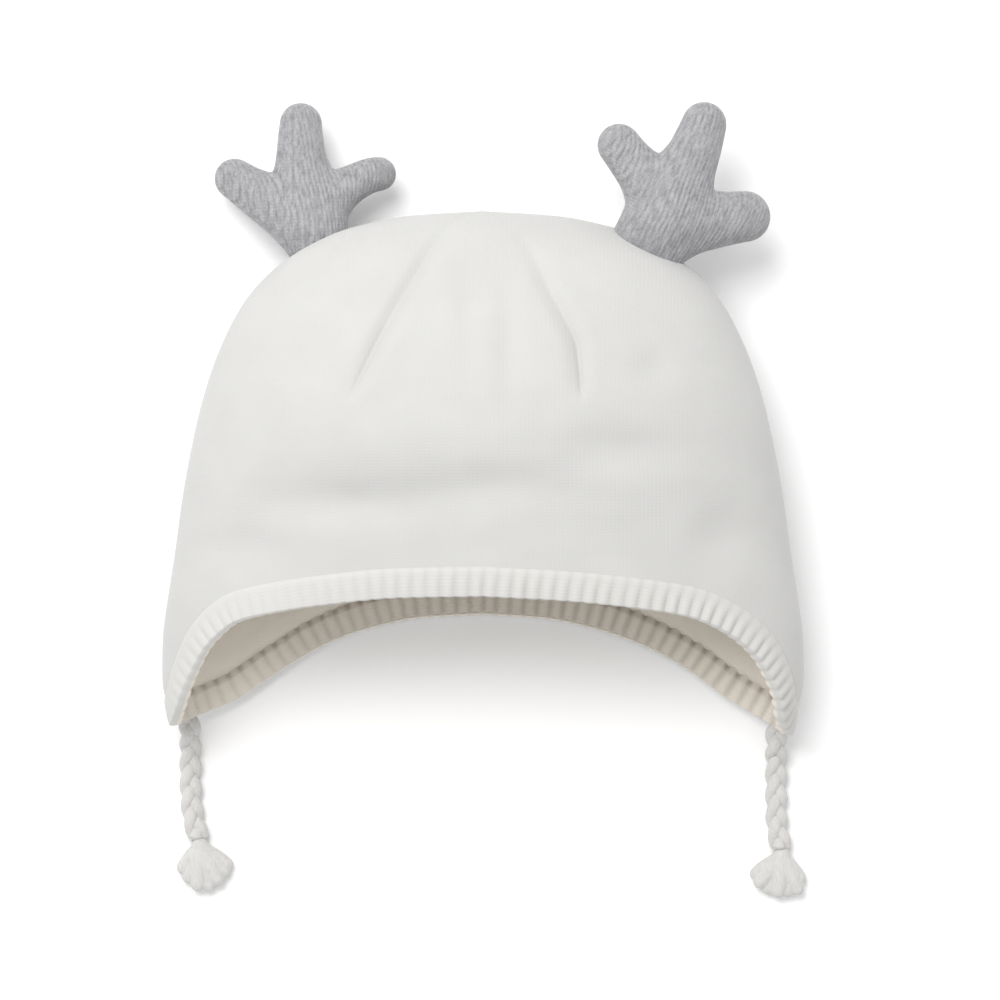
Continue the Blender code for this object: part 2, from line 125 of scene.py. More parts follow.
# The front darts. Columns: distance from the top as a share of CROWN_LENGTH, turn of the left
# dart and of the right one in degrees, the depth of each as a share of DART_DEPTH, then how
# sharp the crease along each is as a share of CREASE_DEPTH.
DARTS = (
    (0.00, 13.0, 12.0, 0.00, 0.00, 0.00, 0.00),
    (0.05, 14.5, 13.5, 0.60, 0.20, 0.20, 0.00),
    (0.11, 16.2, 14.8, 1.00, 0.60, 0.35, 0.10),
    (0.16, 18.2, 16.1, 1.00, 1.00, 0.35, 0.25),
    (0.20, 20.0, 17.7, 1.00, 1.00, 0.40, 0.40),
    (0.27, 22.9, 20.0, 0.90, 0.90, 0.80, 0.90),
    (0.33, 25.2, 19.8, 0.50, 0.60, 1.00, 1.00),
    (0.37, 26.5, 19.6, 0.00, 0.00, 0.00, 0.00),
)
CREASE_DEPTH = 0.0009
CREASE_WIDTH = 0.0007

# Soft dents and folds in the front. Columns: what it is, place across as a share of half
# HAT_WIDTH, distance from the top as a share of CROWN_LENGTH, reach across as a share of half
# HAT_WIDTH, reach along as a share of CROWN_LENGTH, depth as a share of DENT_DEPTH.
DENTS = (
    ("left slump", -0.38, 0.555, 0.24, 0.042, 1.00),
    ("middle slump", 0.03, 0.525, 0.20, 0.040, 0.75),
    ("right slump", 0.43, 0.455, 0.17, 0.045, 0.95),
    ("left side dent", -0.74, 0.64, 0.11, 0.045, 0.75),
    ("left fold", -0.045, 0.21, 0.04, 0.110, 0.45),
    ("right fold", 0.08, 0.27, 0.04, 0.110, 0.50),
    ("right dent", 0.52, 0.30, 0.06, 0.035, 0.45),
    ("right side dent", 0.72, 0.62, 0.09, 0.060, 0.90),
)

# The antlers' tines. Columns: where it starts, its middle and where its round tip begins, each
# as across, along and height in shares of HAT_WIDTH from the hat's middle on the floor, then its
# half width at each of the three as a share of ANTLER_RADIUS.
LEFT_TINES = (
    ("trunk", (-0.248, 0.236, 0.115), (-0.278, 0.357, 0.098), (-0.286, 0.463, 0.075), (1.08, 1.20, 0.94)),
    ("outer tine", (-0.262, 0.282, 0.108), (-0.332, 0.336, 0.088), (-0.391, 0.378, 0.062), (1.10, 1.06, 0.90)),
    ("inner tine", (-0.258, 0.318, 0.104), (-0.206, 0.366, 0.092), (-0.163, 0.384, 0.078), (0.95, 0.83, 0.76)),
)
RIGHT_TINES = (
    ("trunk", (0.234, 0.232, 0.188), (0.301, 0.352, 0.182), (0.343, 0.455, 0.165), (1.58, 1.34, 0.99)),
    ("inner tine", (0.280, 0.318, 0.184), (0.244, 0.376, 0.176), (0.211, 0.423, 0.162), (1.12, 1.02, 0.95)),
    ("outer tine", (0.262, 0.276, 0.184), (0.338, 0.300, 0.170), (0.408, 0.313, 0.150), (1.20, 1.22, 1.12)),
)

# The ties' way. Columns: share of TIE_LENGTH along, sideways lean of the left tie and of the
# right one, and height of the middle, all three in shares of TIE_DIAMETER.
TIE_WAY = (
    (0.00, 0.00, 0.00, 1.30),
    (0.08, 0.00, 0.00, 1.24),
    (0.25, 0.00, 0.02, 0.72),
    (0.45, -0.02, 0.03, 0.56),
    (0.75, 0.06, 0.05, 0.56),
    (1.00, 0.36, 0.25, 0.60),
)

# The tassels' locks. Columns: turn from straight down in degrees, length as a share of
# TASSEL_LENGTH, radius as a share of LOCK_RADIUS, height of the tip as a share of TASSEL_HEAD.
LEFT_LOCKS = (
    (-38, 0.86, 0.90, 0.60),
    (-20, 1.00, 1.00, 0.55),
    (-3, 1.15, 1.00, 0.80),
    (12, 1.20, 1.00, 0.55),
    (28, 1.12, 1.05, 0.75),
    (44, 1.05, 1.00, 0.55),
    (57, 0.98, 0.80, 0.55),
)
RIGHT_LOCKS = (
    (-56, 0.95, 0.85, 0.55),
    (-40, 1.02, 1.00, 0.75),
    (-23, 1.03, 1.00, 0.55),
    (-6, 1.05, 1.05, 0.80),
    (10, 1.06, 1.00, 0.55),
    (25, 1.08, 1.00, 0.75),
    (40, 0.88, 0.85, 0.55),
)


def smooth(x, xs, ys):
    """A curve through the points xs, ys without overshoot (monotone cubic), read at x."""
    xs = np.asarray(xs, float)
    ys = np.asarray(ys, float)
    step = np.diff(xs)
    slope = np.diff(ys) / step
    turn = slope[:-1] * slope[1:]
    weight = (step[:-1] + 2 * step[1:], 2 * step[:-1] + step[1:])
    safe = np.where(turn > 0, slope[:-1] * weight[1] + slope[1:] * weight[0], 1.0)
    middle = np.where(turn > 0, (weight[0] + weight[1]) * turn / safe, 0.0)
    tangent = np.concatenate([slope[:1], middle, slope[-1:]])
    i = np.clip(np.searchsorted(xs, x, side="right") - 1, 0, len(step) - 1)
    t = (x - xs[i]) / step[i]
    a = (1 + 2 * t) * (1 - t) ** 2 * ys[i] + t * (1 - t) ** 2 * step[i] * tangent[i]
    return a + t * t * (3 - 2 * t) * ys[i + 1] + t * t * (t - 1) * step[i] * tangent[i + 1]


def ramp(x, low, high):
    """Rises smoothly from 0 at low to 1 at high: 3t^2 - 2t^3."""
    t = np.clip((x - low) / (high - low), 0, 1)
    return t * t * (3 - 2 * t)


def unit(v):
    return v / np.maximum(np.linalg.norm(v, axis=-1, keepdims=True), 1e-12)


# The sections read along a meridian: each row's place is its distance along the side outline.
TABLE = np.array(SECTIONS)
SECTION_Y = APEX_Y - TABLE[:, 0] * CROWN_LENGTH
SECTION_SIZES = TABLE[:, 1:] * (HAT_WIDTH / 2, HAT_DEPTH, HAT_DEPTH, HAT_DEPTH)
STEPS = np.hypot(np.diff(SECTION_Y), np.diff(SECTION_SIZES[:, 0]))
ALONG = np.concatenate([[0], np.cumsum(STEPS)])


def skin(turn, along):
    """The hat's outer skin with its darts, creases and dents.

    turn goes round from the front's middle in radians and along runs up the side outline. The
    section is an ellipse swelled by (|sin|^n + |cos|^n)^(-1/n), higher in front than behind.
    """
    y = smooth(along, ALONG, SECTION_Y)
    half, front, widest, back = (smooth(along, ALONG, column) for column in SECTION_SIZES.T)
    c, s = np.cos(turn), np.sin(turn)
    power = np.where(c > 0, TOP_ROUNDNESS, BACK_ROUNDNESS)
    swell = (np.abs(s) ** power + np.abs(c) ** power) ** (-1 / power)
    x = half * s * swell
    z = widest + np.where(c > 0, front - widest, widest - back) * c * swell
    share = (APEX_Y - y) / CROWN_LENGTH
    dip = np.zeros_like(z)
    rows = np.array(DARTS)
    down = np.clip(share, 0, rows[-1, 0])
    for side, column in ((-1, 1), (1, 2)):
        place = smooth(down, rows[:, 0], rows[:, column])
        depth = smooth(down, rows[:, 0], rows[:, column + 2])
        sharp = smooth(down, rows[:, 0], rows[:, column + 4])
        around = np.maximum(half, 0.001) * np.abs(np.abs(turn) - np.radians(place))
        here = turn * side > 0
        dip += DART_DEPTH * depth * np.exp(-((around / DART_WIDTH) ** 2)) * here
        dip += CREASE_DEPTH * sharp * np.exp(-((around / CREASE_WIDTH) ** 2)) * here
    for _, across, down, reach, length, depth in DENTS:
        u = (x / (HAT_WIDTH / 2) - across) / reach
        v = (share - down) / length
        dip += DENT_DEPTH * depth * np.exp(-(u * u) - v * v)
    lift = np.clip(c * 4, 0, 1)
    return np.stack([x, y + 0 * x, np.maximum(z - dip * lift, 0)], axis=-1)


def skin_normal(turn, along):
    """The skin's outward direction, from its slopes round and along."""
    step = 1e-4
    up = skin(turn, along + step) - skin(turn, along - step)
    round_ = skin(turn + step, along) - skin(turn - step, along)
    return unit(np.cross(round_, up))


def depth_in_hat(points):
    """About how deep points lie under the hat's skin, negative outside.

    It is (1 - F) / |slope of F|, where F is the section's power-n radius at the point.
    """

    def radius(p):
        y = np.clip(p[:, 1], SECTION_Y[0], APEX_Y - 1e-5)
        fine = np.linspace(ALONG[0], ALONG[-1], 4000)
        along = np.interp(-y, -smooth(fine, ALONG, SECTION_Y)[::-1], fine[::-1])
        half, front, widest, back = (smooth(along, ALONG, column) for column in SECTION_SIZES.T)
        high = p[:, 2] - widest
        power = np.where(high > 0, TOP_ROUNDNESS, BACK_ROUNDNESS)
        tall = np.where(high > 0, front - widest, widest - back)
        sides = np.abs(p[:, 0]) / np.maximum(half, 1e-5)
        return (sides**power + np.abs(high / np.maximum(tall, 1e-5)) ** power) ** (1 / power)

    step = 5e-4
    slope = np.stack([(radius(points + d) - radius(points - d)) / (2 * step) for d in np.eye(3) * step], 1)
    return (1 - radius(points)) / np.linalg.norm(slope, axis=1)


def rim_along(turn):
    """Where the rim lies along the meridian at this turn."""
    rows = np.array(RIM, float)
    degrees = np.degrees(np.abs(turn))
    left = smooth(degrees, rows[:, 0], rows[:, 1])
    right = smooth(degrees, rows[:, 0], rows[:, 2])
    y = RIM_FRONT_Y - FLAP_LENGTH * np.where(turn < 0, left, right)
    fine = np.linspace(ALONG[0], ALONG[-1], 4000)
    return np.interp(y, smooth(fine, ALONG, SECTION_Y), fine)


class Value:
    """A shader socket that takes arithmetic: each operator adds one Math node."""

    def __init__(self, look, socket):
        self.look = look
        self.socket = socket

    def math(self, operation, *others):
        node = self.look.nodes.new("ShaderNodeMath")
        node.operation = operation
        for place, item in zip(node.inputs, (self, *others)):
            self.look.put(place, item)
        return Value(self.look, node.outputs[0])

    def __add__(self, other):
        return self.math("ADD", other)

    def __sub__(self, other):
        return self.math("SUBTRACT", other)

    def __rsub__(self, other):
        return self.math("MULTIPLY_ADD", -1.0, other)

    def __mul__(self, other):
        return self.math("MULTIPLY", other)

    def __truediv__(self, other):
        return self.math("DIVIDE", other)

    def __pow__(self, other):
        return self.math("POWER", other)

    def __abs__(self):
        return self.math("ABSOLUTE")

    def cos(self):
        return self.math("COSINE")

    def wrap(self):
        return self.math("FRACT")

    def clip(self):
        return self.math("MINIMUM", 1.0).math("MAXIMUM", 0.0)


class Look:
    """A material with a Principled shader, and the nodes that feed it."""

    def __init__(self, name, colour, roughness, **constants):
        self.material = bpy.data.materials.new(name)
        self.material.use_nodes = True
        self.nodes = self.material.node_tree.nodes
        self.shader = self.nodes["Principled BSDF"]
        self.shader.inputs["Base Color"].default_value = (*colour, 1)
        self.shader.inputs["Roughness"].default_value = roughness
        for title, value in constants.items():
            self.shader.inputs[title.replace("_", " ")].default_value = value

    def put(self, place, item):
        if isinstance(item, Value):
            self.material.node_tree.links.new(item.socket, place)
        else:
            place.default_value = item

    def node(self, kind, output, settings=None, **inputs):
        """One node of any kind: settings are its options, inputs its values or links."""
        made = self.nodes.new("ShaderNode" + kind)
        for title, value in (settings or {}).items():
            setattr(made, title, value)
        for title, item in inputs.items():
            self.put(made.inputs[title.replace("_", " ")], item)
        return Value(self, made.outputs[output])

    def parts(self, vector):
        """The three numbers of a vector."""
        made = self.nodes.new("ShaderNodeSeparateXYZ")
        self.put(made.inputs[0], vector)
        return [Value(self, socket) for socket in made.outputs]

    def noise(self, vector, scale, detail=2.0):
        return self.node("TexNoise", "Fac", Vector=vector, Scale=scale, Detail=detail)

    def stretched(self, vector, sizes):
        """The vector with each direction multiplied."""
        made = self.nodes.new("ShaderNodeVectorMath")
        made.operation = "MULTIPLY"
        self.put(made.inputs[0], vector)
        made.inputs[1].default_value = sizes
        return Value(self, made.outputs[0])

    def mix(self, share, first, second):
        """A colour between two, each a colour or a link."""
        made = self.nodes.new("ShaderNodeMix")
        made.data_type = "RGBA"
        self.put(made.inputs[0], share)
        self.put(made.inputs[6], first if isinstance(first, Value) else (*first, 1))
        self.put(made.inputs[7], second if isinstance(second, Value) else (*second, 1))
        return Value(self, made.outputs[2])

    def colour(self, value):
        self.put(self.shader.inputs["Base Color"], value)

    def relief(self, height, distance):
        """Bumps the surface by height times distance, in metres."""
        bump = self.node("Bump", "Normal", Strength=1.0, Distance=distance, Height=height)
        self.put(self.shader.inputs["Normal"], bump)


def build(name, points, faces, corners, inside, look):
    """A mesh object from points, faces as rows of point numbers, and each face corner's UV."""
    mesh = bpy.data.meshes.new(name)
    mesh.from_pydata(points.tolist(), [], [face for rows in faces for face in rows.tolist()])
    mesh.polygons.foreach_set("use_smooth", np.ones(len(mesh.polygons), bool))
    if corners is not None:
        flat = np.concatenate([rows.reshape(-1, 2) for rows in corners])
        mesh.uv_layers.new(name="knit").data.foreach_set("uv", flat.astype(np.float32).ravel())
    if inside is not None:
        mesh.attributes.new("inside", "FLOAT", "POINT").data.foreach_set("value", inside.astype(np.float32))
    mesh.materials.append(look.material)
    mesh.update()
    obj = bpy.data.objects.new(name, mesh)
    bpy.context.scene.collection.objects.link(obj)
    return obj


def ring_grid(points, first, last=None, uv=None, loop=False):
    """Points, faces and UV corners of a grid of rings.

    points is rows x columns x 3, and each row closes into a ring. The grid closes to the point
    first before its first row and last after its last one, or onto itself where loop is set. uv
    has one more column, and one more row where loop is set.
    """
    rows, columns = points.shape[:2]
    i = np.arange(rows if loop else rows - 1)[:, None]
    k = np.arange(columns)[None, :]
    a, b = i * columns + k, i * columns + (k + 1) % columns
    c, d = (i + 1) % rows * columns + (k + 1) % columns, (i + 1) % rows * columns + k
    faces = [np.stack([a, b, c, d], axis=-1).reshape(-1, 4)]
    corners = None
    if uv is not None:
        corners = [np.stack([uv[i, k], uv[i, k + 1], uv[i + 1, k + 1], uv[i + 1, k]], axis=-2)]
    flat = points.reshape(-1, 3)
    if not loop:
        flat = np.concatenate([flat, [first, last]])
        k = np.arange(columns)
        ahead = (k + 1) % columns
        top = (rows - 1) * columns
        faces.append(np.stack([ahead, k, 0 * k + rows * columns], axis=-1))
        faces.append(np.stack([top + k, top + ahead, 0 * k + rows * columns + 1], axis=-1))
        if uv is not None:
            middle = (uv[:, :-1] + uv[:, 1:]) / 2
            corners.append(np.stack([uv[0, k + 1], uv[0, k], middle[0]], axis=-2))
            corners.append(np.stack([uv[-1, k], uv[-1, k + 1], middle[-1]], axis=-2))
    return flat, faces, corners


def arc_round(points):
    """Distance round each ring of rows x columns x 3 from its middle column, with the closing column."""
    closed = np.concatenate([points, points[:, :1]], axis=1)
    step = np.linalg.norm(np.diff(closed, axis=1), axis=2)
    reach = np.concatenate([np.zeros((len(points), 1)), np.cumsum(step, axis=1)], axis=1)
    return reach - reach[:, points.shape[1] // 2, None]


CROWN_COLUMNS = 420
CROWN_ROWS = 165
LINING_ROWS = 50
RIM_TUCK = 0.0014


def crown_turns(count):
    """Turns round the crown, closer together at the darts and at the flaps' tips."""
    turn = np.linspace(-math.pi, math.pi, 7201)
    degrees = np.degrees(np.abs(turn))
    density = 1 + 0.7 * np.exp(-(((degrees - 92) / 34) ** 2))
    density += 2.2 * np.exp(-(((degrees - 20) / 7) ** 2))
    total = np.concatenate([[0], np.cumsum((density[1:] + density[:-1]) / 2)])
    return np.interp(np.arange(count) / count * total[-1], total, turn)


def make_crown(look):
    """The knitted shell: inside from its top to the rim, round the rim, and outside to the top.

    The outside is the hat's skin; the inside lies WALL under it, and the wall thins at the rim,
    which runs RIM_TUCK on inside the band.
    """
    turn = crown_turns(CROWN_COLUMNS)[None, :]
    start = rim_along(turn) - RIM_TUCK

    def level(share):
        along = start + (ALONG[-1] - start) * share[:, None]
        return along, skin(turn + 0 * along, along), skin_normal(turn + 0 * along, along)

    along, outer, _ = level((np.arange(CROWN_ROWS) / CROWN_ROWS) ** 0.96)
    below, inner, out = level((np.arange(LINING_ROWS) / LINING_ROWS)[::-1] ** 0.96)
    wall = WALL * (0.45 + 0.55 * ramp(below - start, 0.0005, 0.0045))
    inner = inner - wall[..., None] * out
    points = np.concatenate([inner, outer])
    up = np.concatenate([below, along])
    up = np.concatenate([up, up[:, :1]], axis=1)
    uv = np.stack([arc_round(points), up], axis=-1) * 1000
    centre = SECTION_SIZES[-1, 1]
    first, last = (0, APEX_Y - WALL, centre), (0, APEX_Y, centre)
    flat, faces, corners = ring_grid(points, first, last, uv)
    inside = np.zeros(len(flat))
    inside[: LINING_ROWS * CROWN_COLUMNS] = 1
    inside[-2] = 1
    return build("knitted_crown", flat, faces, corners, inside, look)


# The band's mesh and section. RIM_EASE is how many samples each way the band's tilt is evened
# over. LIP and EDGE are shares of the band's width: where the section starts inside the crown and
# where its rounded free edge begins.
RIB_STEPS = 14
RIM_EASE = 70
SCALLOP = 0.00015
LIP = -0.14
EDGE = 0.93
SEAM_STEP = 0.0016


def band_frame():
    """The rim's line in RIB_STEPS steps a rib, with its outward and downward directions."""
    turn = np.linspace(-math.pi, math.pi, 6001)[:-1]
    start = rim_along(turn)
    rim = skin(turn, start)
    out = skin_normal(turn, start)
    ring = unit(np.roll(rim, -1, axis=0) - np.roll(rim, 1, axis=0))
    down = unit(np.cross(out, ring))
    down = down * np.where(np.sum(down * (0, -1, 0), axis=1) < 0, -1, 1)[:, None]
    window = np.hanning(2 * RIM_EASE + 1)
    window = window / window.sum()
    looped = np.concatenate([down[-RIM_EASE:], down, down[:RIM_EASE]])
    down = unit(np.stack([np.convolve(column, window, "valid") for column in looped.T], axis=1))
    length = np.linalg.norm(np.roll(rim, -1, axis=0) - rim, axis=1)
    place = np.concatenate([[0], np.cumsum(length)])
    ribs = round(place[-1] / RIB_PITCH)
    stations = np.arange(RIB_STEPS * ribs) / (RIB_STEPS * ribs) * place[-1]
    rows = np.array(RIM, float)
    width = BAND_WIDTH * smooth(np.degrees(np.abs(turn)), rows[:, 0], rows[:, 3])

    def read(values):
        looped = np.concatenate([values, values[:1]])
        return np.stack([np.interp(stations, place, column) for column in looped.T], axis=1)

    return read(rim), unit(read(out)), unit(read(down)), read(width[:, None])[:, 0]


def make_band(look):
    """The ribbed band: one rounded section carried round the rim.

    The section's outside rises from inside the crown's wall to stand proud of the skin, and its
    inside the same way. Ribs are ((1 - cos) / 2)^0.6 waves, none at the seam outside and full at
    the free edge; inside they are fullest at the seam. Their height varies slowly by sines along
    the band and is less on the left.
    """
    rim, out, down, width = band_frame()
    count = len(rim)
    order = np.arange(count) / RIB_STEPS
    rib = (0.5 - 0.5 * np.cos(2 * math.pi * order)) ** 0.6
    uneven = 1 + 0.25 * np.sin(order * 0.9) * np.sin(order * 0.37 + 1) + 0.15 * np.sin(order * 2.3)
    uneven *= 0.5 + 0.5 * ramp(rim[:, 0], -0.07, 0.0)
    across = np.linspace(LIP, EDGE, 20)
    crown_of_band = 0.25 * np.sin(np.pi * np.clip(across, 0, 1))
    outer = BAND_PROUD * (-1.2 + 2.2 * ramp(across, LIP, 0.22) + crown_of_band)
    inner = BAND_PROUD - BAND_THICKNESS + SEAM_STEP * (1 - ramp(across, LIP, 0.20))
    free = np.radians(np.linspace(80, -80, 9))
    middle = (outer[-1] + inner[-1]) / 2
    bulge = (outer[-1] - inner[-1]) / 2
    # Columns: place across from seam to free edge, height over the skin, share of the ribs.
    section = [(a, h, 0.9 * ramp(a, 0.12, 0.7)) for a, h in zip(across, outer)]
    section += [
        (EDGE + (1 - EDGE) * math.cos(e), middle + bulge * math.sin(e), 0.8 * math.sin(e)) for e in free
    ]
    section += [(a, h, -(1 - 0.5 * ramp(a, 0.2, 1.0))) for a, h in zip(across[::-1], inner[::-1])]
    rings = []
    uv = []
    for a, height, share in section:
        reach = width * a + SCALLOP * (rib - 0.5) * ramp(a, 0.75, 1.0)
        lift = height + RIB_HEIGHT * share * uneven * (rib - 0.5)
        rings.append(rim + reach[:, None] * down + lift[:, None] * out)
        uv.append(np.stack([np.arange(count + 1) / RIB_STEPS, np.full(count + 1, a)], axis=1))
    points = np.stack(rings[::-1])
    uv = np.stack([*uv[::-1], uv[-1]])
    flat, faces, corners = ring_grid(points, None, uv=uv, loop=True)
    inside = np.repeat([float(share < 0) for _, _, share in section[::-1]], count)
    return build("ribbed_band", flat, faces, corners, inside, look)


def tine_axis(tine, count):
    """Points, half widths and half thicknesses along a tine through its three places.

    The thickness grows with the square root of the width, so a wide foot stays a flat oval.
    """
    _, start, bend, end, widths = tine
    t = np.linspace(0, 1, count)[:, None]
    places = np.array([start, bend, end]) * HAT_WIDTH
    control = 2 * places[1] - (places[0] + places[2]) / 2
    axis = (1 - t) ** 2 * places[0] + 2 * t * (1 - t) * control + t**2 * places[2]
    width = ANTLER_RADIUS * smooth(t[:, 0], (0, 0.5, 1), widths)
    return axis, width, ANTLER_FLATNESS * np.sqrt(width * ANTLER_RADIUS)


def tine_distance(points, tine):
    """How far points lie outside a tine, taking its flatness into account."""
    axis, width, thick = tine_axis(tine, 40)
    apart = points[:, None, :] - axis[None, :, :]
    apart[..., 2] *= (width / thick)[None, :]
    return np.min(np.linalg.norm(apart, axis=-1) - width[None, :], axis=1)


FOOT_DEPTH = 0.0012
TINE_ROWS = 60
TINE_ROUND = 48
DOME_RINGS = 11


def tine_rings(tine, others):
    """Rings of a tine with a domed tip, pushed out where it blends into the others.

    The push is blend / 4 * (1 - |d| / blend)^2 with d the distance to the other tine. Points
    deeper than FOOT_DEPTH in the hat move up the tine until they are there.
    """
    axis, width, thick = tine_axis(tine, TINE_ROWS)
    slope = unit(np.gradient(axis, axis=0))
    side = unit(np.cross(slope, (0, 0, 1)))
    up = np.cross(side, slope)
    round_ = np.linspace(0, 2 * math.pi, TINE_ROUND, endpoint=False)[None, :, None]
    ring = np.cos(round_) * (side * width[:, None])[:, None] + np.sin(round_) * (up * thick[:, None])[:, None]
    dome = np.radians(np.linspace(0, 84, DOME_RINGS + 1))[1:, None, None]
    points = np.concatenate(
        [axis[:, None] + ring, axis[-1] + slope[-1] * width[-1] * np.sin(dome) + np.cos(dome) * ring[-1]]
    )
    centre = np.concatenate([axis, np.repeat(axis[-1:], DOME_RINGS, axis=0)])[:, None] + 0 * points
    flat = points.reshape(-1, 3)
    away = unit(flat - centre.reshape(-1, 3))
    for other in others:
        far = np.abs(tine_distance(flat, other))
        flat = flat + away * (ANTLER_BLEND / 4 * np.clip(1 - far / ANTLER_BLEND, 0, 1) ** 2)[:, None]
    points = flat.reshape(points.shape)
    deep = depth_in_hat(flat).reshape(points.shape[:2])
    rows = np.arange(len(points), dtype=float)
    for k in range(TINE_ROUND):
        under = deep[:, k] > FOOT_DEPTH
        if not under.any():
            continue
        last = np.nonzero(under)[0].max()
        share = (deep[last, k] - FOOT_DEPTH) / (deep[last, k] - deep[last + 1, k])
        spread = np.interp(rows, (0, rows[-1]), (last + share, rows[-1]))
        points[:, k] = np.stack([np.interp(spread, rows, column) for column in points[:, k].T], axis=1)
    tip = axis[-1] + slope[-1] * width[-1]
    return points, points[0].mean(axis=0), tip


# How finely each stuffed or tufted form is made one skin, and how many times it is evened
ANTLER_VOXEL = 0.0005
ANTLER_ROUNDS = 14
TASSEL_VOXEL = 0.00035
TASSEL_ROUNDS = 6


def merged(name, parts, look, voxel, rounds):
    """Closed forms made one skin and evened out, as cloth is round a stuffed shape."""
    points, faces, total = [], [], 0
    for flat, rows, _ in parts:
        points.append(flat)
        faces += [row + total for row in rows]
        total += len(flat)
    obj = build(name, np.concatenate(points), faces, None, None, look)
    join = obj.modifiers.new("one skin", "REMESH")
    join.mode = "VOXEL"
    join.voxel_size = voxel
    join.use_smooth_shade = True
    even = obj.modifiers.new("evened", "SMOOTH")
    even.factor = 0.5
    even.iterations = rounds
    return obj


def make_antler(name, tines, look):
    """A stuffed antler: three tines in one skin, its foot let into the crown's wall."""
    parts = []
    for tine in tines:
        points, foot, tip = tine_rings(tine, [other for other in tines if other is not tine])
        parts.append(ring_grid(points, foot, tip))
    return merged(name, parts, look, ANTLER_VOXEL, ANTLER_ROUNDS)


def tie_route(side, tip, count):
    """The tie's middle line from the flap's tip over the floor."""
    rows = np.array(TIE_WAY)
    t = np.linspace(0, 1, count)
    x = tip[0] + TIE_DIAMETER * smooth(t, rows[:, 0], rows[:, 1 if side < 0 else 2])
    z = TIE_DIAMETER * smooth(t, rows[:, 0], rows[:, 3])
    return np.stack([x, tip[1] - t * TIE_LENGTH, z], axis=1)


# The plait. TIE_TUCK is how far its visible way starts inside the free edge, SEWN_DEPTH how far
# up inside the flap it is sewn, and FLOOR_CLEAR the least height of yarn over the floor.
PLAIT_PITCH = 0.0195
STRAND_RADIUS = 0.00185
STRAND_ROUND = 20
PLAIT_SIDE = 0.0016
PLAIT_HEIGHT = 0.0009
PLAIT_ROLL = math.radians(22)
TIE_POINTS = 140
TIE_TUCK = 0.0006
SEWN_DEPTH = 0.0035
FLOOR_CLEAR = 0.0002


def make_tie(name, route, sewn, look):
    """A plait of three strands that starts at sewn, inside the flap's tip, where it is narrowest.

    Strand k lies at a sin(w s + 2 pi k / 3), b sin(2 w s + 4 pi k / 3) and the plait is rolled
    PLAIT_ROLL about its middle line.
    """
    hidden = np.linspace(0, 1, 12, endpoint=False)[:, None]
    route = np.concatenate([sewn + (route[0] - sewn) * hidden, route])
    slope = unit(np.gradient(route, axis=0))
    level = unit(np.cross(slope, (0, 0, 1)))
    above = np.cross(level, slope)
    across = level * math.cos(PLAIT_ROLL) + above * math.sin(PLAIT_ROLL)
    up = np.cross(across, slope)
    step = np.linalg.norm(np.diff(route, axis=0), axis=1)
    s = np.concatenate([[0], np.cumsum(step)])
    share = 0.45 + 0.55 * ramp(s, 0.0, 0.0055)
    parts = []
    for k in range(3):
        angle = 2 * math.pi * (s / PLAIT_PITCH + k / 3)
        line = route + across * (share * PLAIT_SIDE * np.sin(angle))[:, None]
        line = line + up * (share * PLAIT_HEIGHT * np.sin(2 * angle))[:, None]
        way = unit(np.gradient(line, axis=0))
        side = unit(np.cross(way, up))
        high = np.cross(side, way)
        round_ = np.linspace(0, 2 * math.pi, STRAND_ROUND, endpoint=False)[None, :, None]
        radius = STRAND_RADIUS * share[:, None, None]
        oval = np.cos(round_) * side[:, None] + 0.85 * np.sin(round_) * high[:, None]
        points = line[:, None] + radius * oval
        points[..., 2] = np.maximum(points[..., 2], FLOOR_CLEAR)
        parts.append(ring_grid(points, line[0] - way[0] * 0.0004, line[-1] + way[-1] * 0.0008))
    flat = np.concatenate([p[0] for p in parts])
    faces = [row + i * len(parts[0][0]) for i, p in enumerate(parts) for row in p[1]]
    return build(name, flat, faces, None, None, look)


def make_tassel(name, locks, end, lean, look):
    """A tuft of yarn: soft locks fanned out over the floor from a small round head."""
    centre = end + lean * TASSEL_HEAD / 2
    centre[2] = max(centre[2], TASSEL_HEAD / 2 + FLOOR_CLEAR)
    turn = np.linspace(0, 2 * math.pi, 24, endpoint=False)[None, :, None]
    rise = np.radians(np.linspace(-75, 75, 11))[:, None, None]
    x, y, z = np.eye(3)
    ball = centre + TASSEL_HEAD / 2 * (
        np.cos(rise) * (np.cos(turn) * x + np.sin(turn) * y) + np.sin(rise) * z
    )
    parts = [ring_grid(ball, centre - z * TASSEL_HEAD / 2, centre + z * TASSEL_HEAD / 2)]
    for degrees, length, radius, height in locks:
        reach = (TASSEL_LENGTH - TASSEL_HEAD / 2) * length
        bend = math.radians(degrees)
        t = np.linspace(0, 1, 24)
        axis = np.stack([
            centre[0] + reach * math.sin(bend) * t,
            centre[1] - reach * math.cos(bend) * t,
            centre[2] + (TASSEL_HEAD * height - centre[2]) * t**0.7,
        ], axis=1)
        width = LOCK_RADIUS * radius * smooth(t, (0, 0.5, 0.9, 1), (0.95, 1.08, 0.88, 0.6))
        slope = unit(np.gradient(axis, axis=0))
        side = unit(np.cross(slope, z))
        up = np.cross(side, slope)
        circle = np.cos(turn) * side[:, None] + np.sin(turn) * up[:, None]
        points = axis[:, None] + width[:, None, None] * circle
        points[..., 2] = np.maximum(points[..., 2], FLOOR_CLEAR)
        parts.append(ring_grid(points, axis[0] - slope[0] * 0.001, axis[-1] + slope[-1] * width[-1] * 0.5))
    return merged(name, parts, look, TASSEL_VOXEL, TASSEL_ROUNDS)


